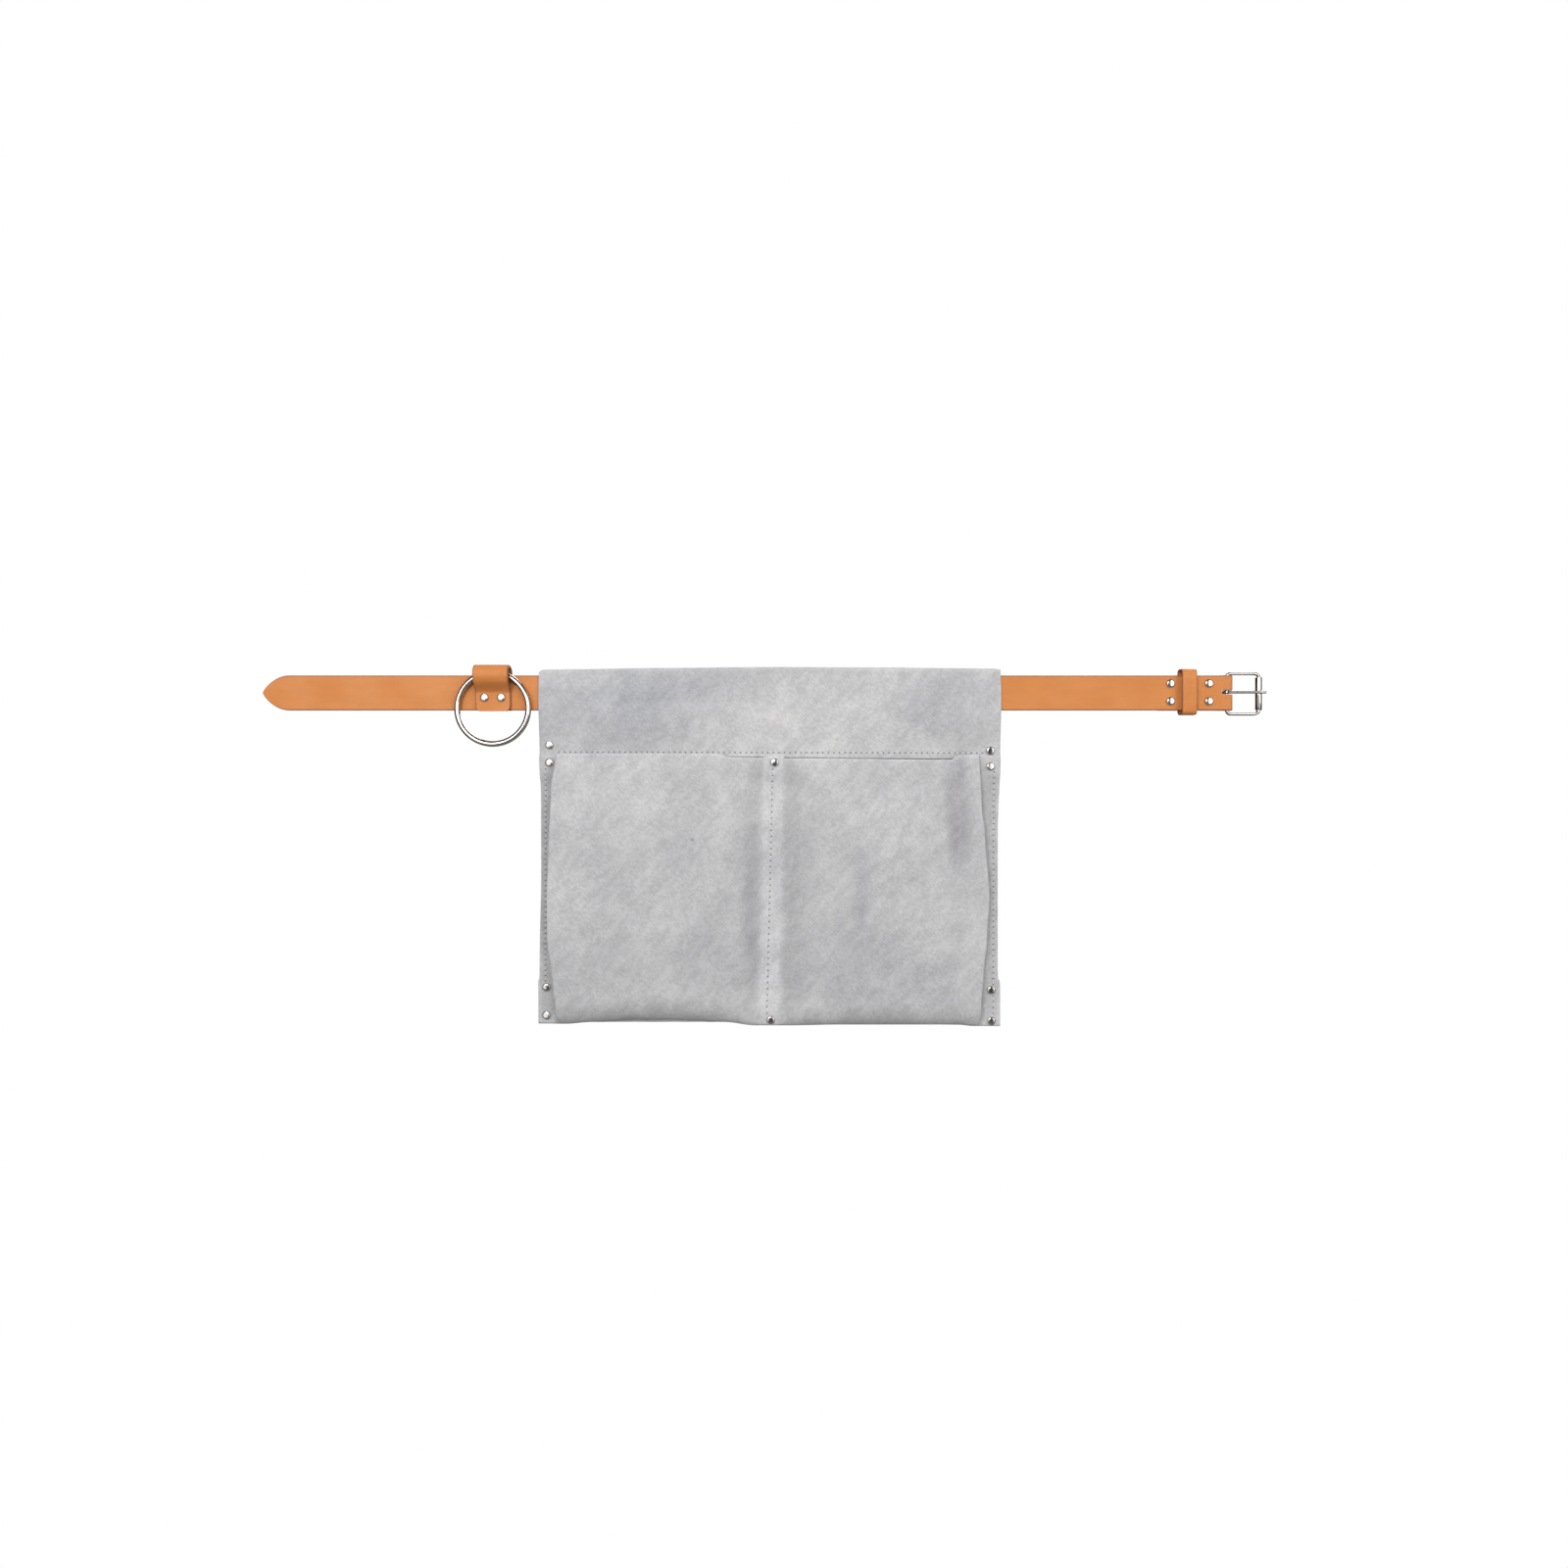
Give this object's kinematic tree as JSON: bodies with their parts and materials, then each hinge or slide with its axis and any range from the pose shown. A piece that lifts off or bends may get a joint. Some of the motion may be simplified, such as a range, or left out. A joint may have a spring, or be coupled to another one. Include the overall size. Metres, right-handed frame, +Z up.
{
  "type": "waist apron",
  "caption": "Short suede waist apron with two pleated pockets, hung on a flat leather belt with a roller buckle, a keeper loop and a ring on a riveted tab.",
  "frame": {"origin": "centre of the apron's back face at the waist, level with the belt's centre line", "axes": "+X along the belt towards the buckle, +Y out of the back face towards the wearer, +Z up"},
  "size_m": [1.0889, 0.0291, 0.3923],
  "materials": {
    "suede": "napped split suede, light cool grey",
    "strap_leather": "smooth vegetable-tanned leather, tan, burnished edges",
    "polished_nickel": "polished nickel plate",
    "rivet_nickel": "nickel plate, lightly rubbed",
    "seam_thread": "waxed polyester thread, light grey"
  },
  "bodies": {
    "apron": {"apron_back": "suede", "pocket_panel": "suede", "thread_tunnel": "seam_thread", "thread_left": "seam_thread", "thread_right": "seam_thread", "thread_centre": "seam_thread", "rivet_tunnel_left_cap": "rivet_nickel", "rivet_tunnel_left_post": "rivet_nickel", "rivet_tunnel_right_cap": "rivet_nickel", "rivet_tunnel_right_post": "rivet_nickel", "rivet_mouth_left_cap": "rivet_nickel", "rivet_mouth_left_post": "rivet_nickel", "rivet_mouth_centre_cap": "rivet_nickel", "rivet_mouth_centre_post": "rivet_nickel", "rivet_mouth_right_cap": "rivet_nickel", "rivet_mouth_right_post": "rivet_nickel", "rivet_side_left_cap": "rivet_nickel", "rivet_side_left_post": "rivet_nickel", "rivet_side_right_cap": "rivet_nickel", "rivet_side_right_post": "rivet_nickel", "rivet_foot_left_cap": "rivet_nickel", "rivet_foot_left_post": "rivet_nickel", "rivet_foot_centre_cap": "rivet_nickel", "rivet_foot_centre_post": "rivet_nickel", "rivet_foot_right_cap": "rivet_nickel", "rivet_foot_right_post": "rivet_nickel"},
    "belt": {"belt_strap": "strap_leather", "ring_tab": "strap_leather", "rivet_buckle_1_cap": "rivet_nickel", "rivet_buckle_1_post": "rivet_nickel", "rivet_buckle_2_cap": "rivet_nickel", "rivet_buckle_2_post": "rivet_nickel", "rivet_buckle_3_cap": "rivet_nickel", "rivet_buckle_3_post": "rivet_nickel", "rivet_buckle_4_cap": "rivet_nickel", "rivet_buckle_4_post": "rivet_nickel", "rivet_tab_1_cap": "rivet_nickel", "rivet_tab_1_post": "rivet_nickel", "rivet_tab_2_cap": "rivet_nickel", "rivet_tab_2_post": "rivet_nickel"},
    "ring": {"o_ring": "polished_nickel"},
    "keeper_loop": {"keeper": "strap_leather", "keeper_staple": "rivet_nickel"},
    "frame": {"buckle_frame": "polished_nickel"},
    "roller": {"buckle_roller": "polished_nickel"},
    "tongue": {"buckle_tongue": "polished_nickel"}
  },
  "joints": [
    {"name": "belt_slide", "type": "slide", "parent": "apron", "child": "belt", "axis": [1, 0, 0], "range_m": [-0.17, 0.006]},
    {"name": "ring_swing", "type": "hinge", "parent": "belt", "child": "ring", "pos_m": [-0.3003, -0.01255, 0.01889], "axis": [-1, 0, 0], "range_deg": [0, 165]},
    {"name": "keeper_slide", "type": "slide", "parent": "belt", "child": "keeper_loop", "axis": [1, 0, 0], "range_m": [-0.0055, 0.01]},
    {"name": "buckle_swing", "type": "hinge", "parent": "belt", "child": "frame", "pos_m": [0.497, -0.00195, 0], "axis": [0, 0, 1], "range_deg": [-90, 90]},
    {"name": "tongue_swing", "type": "hinge", "parent": "frame", "child": "tongue", "pos_m": [0.497, -0.00195, 0], "axis": [0, 0, -1], "range_deg": [0, 75]},
    {"name": "roller_spin", "type": "hinge", "parent": "frame", "child": "roller", "pos_m": [0.5315, -0.00195, 0], "axis": [0, 0, 1], "continuous": true}
  ]
}
